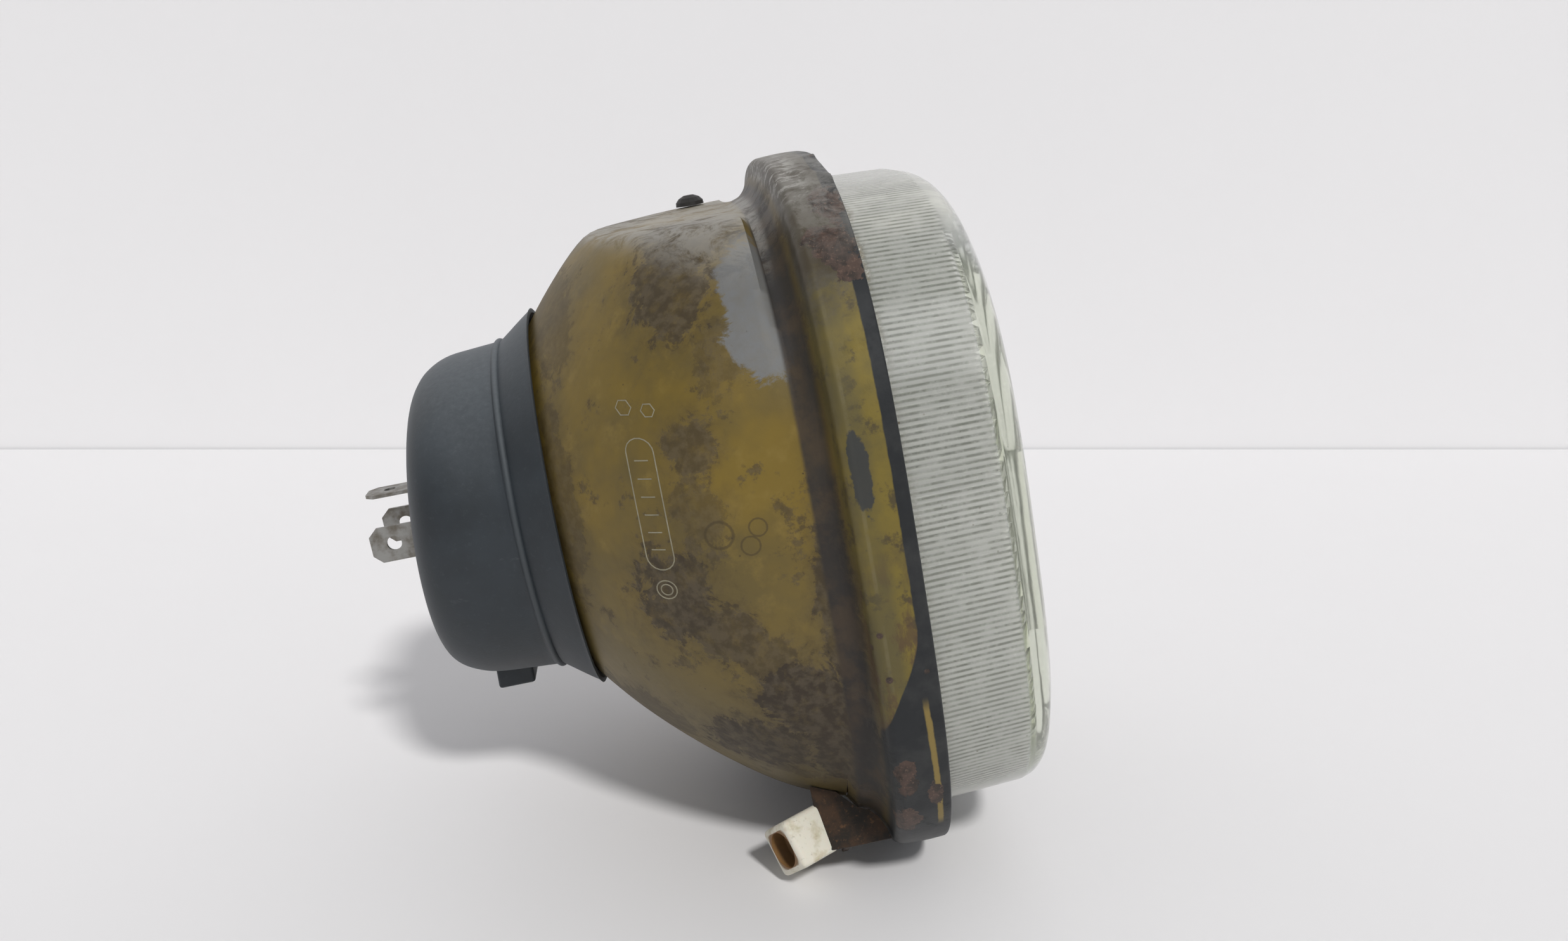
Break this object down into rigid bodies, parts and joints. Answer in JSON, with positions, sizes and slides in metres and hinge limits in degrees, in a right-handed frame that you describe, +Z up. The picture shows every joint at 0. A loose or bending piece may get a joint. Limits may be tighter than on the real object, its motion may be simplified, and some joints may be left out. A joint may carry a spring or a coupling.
{
  "type": "vehicle headlamp",
  "caption": "Rounded-square vehicle headlamp with fluted glass lens, pressed steel reflector, bladed bulb, rubber rear boot and corner adjuster nuts, resting tilted back.",
  "frame": {"origin": "centre of the object's box at the height of the surface it rests on", "axes": "+X towards the lens side, +Z up, +Y across the lamp; the bulb axis leans 9.94 degrees up towards the lens"},
  "size_m": [0.1474, 0.156, 0.1502],
  "materials": {
    "lacquered_steel": "worn golden lacquer",
    "black_sealant": "matte",
    "lens_glass": "fluted",
    "zinc_plated_steel": "dull zinc",
    "tinned_brass": "dull tin",
    "black_plastic": "matte",
    "bulb_glass": "clear",
    "tungsten": "dull",
    "black_rubber": "matte",
    "rusty_steel": "rusty",
    "white_nylon": "matte, stained"
  },
  "bodies": {
    "lamp": {"reflector_shell": "lacquered_steel", "rim_sealant": "black_sealant", "lens": "lens_glass", "bulb_collar": "zinc_plated_steel", "bulb_base": "zinc_plated_steel", "bulb_flange": "zinc_plated_steel", "bulb_insulator": "black_plastic", "terminal_near": "tinned_brass", "terminal_far": "tinned_brass", "terminal_top": "tinned_brass", "bulb_envelope": "bulb_glass", "bulb_stem": "bulb_glass", "main_filament": "tungsten", "dip_filament": "tungsten", "main_lead": "tungsten", "common_lead": "tungsten", "dip_lead": "tungsten", "dip_shield": "tungsten", "bracket_near": "rusty_steel", "bracket_far": "rusty_steel", "nut_near": "white_nylon", "nut_far": "white_nylon", "top_plug": "black_plastic"},
    "rear_boot": {"boot": "black_rubber"},
    "clip": {"retaining_clip": "zinc_plated_steel"}
  },
  "joints": [
    {"name": "boot_pull", "type": "slide", "parent": "lamp", "child": "rear_boot", "axis": [-0.985, 0, -0.1726], "range_m": [0, 0.07]},
    {"name": "clip_swing", "type": "hinge", "parent": "lamp", "child": "clip", "pos_m": [-0.04784, 0, 0.095], "axis": [0, 1, 0], "range_deg": [0, 90]}
  ],
  "couplings": [
    {"joint": "clip_swing", "follows": "boot_pull", "rad_per_m": 22.4}
  ]
}
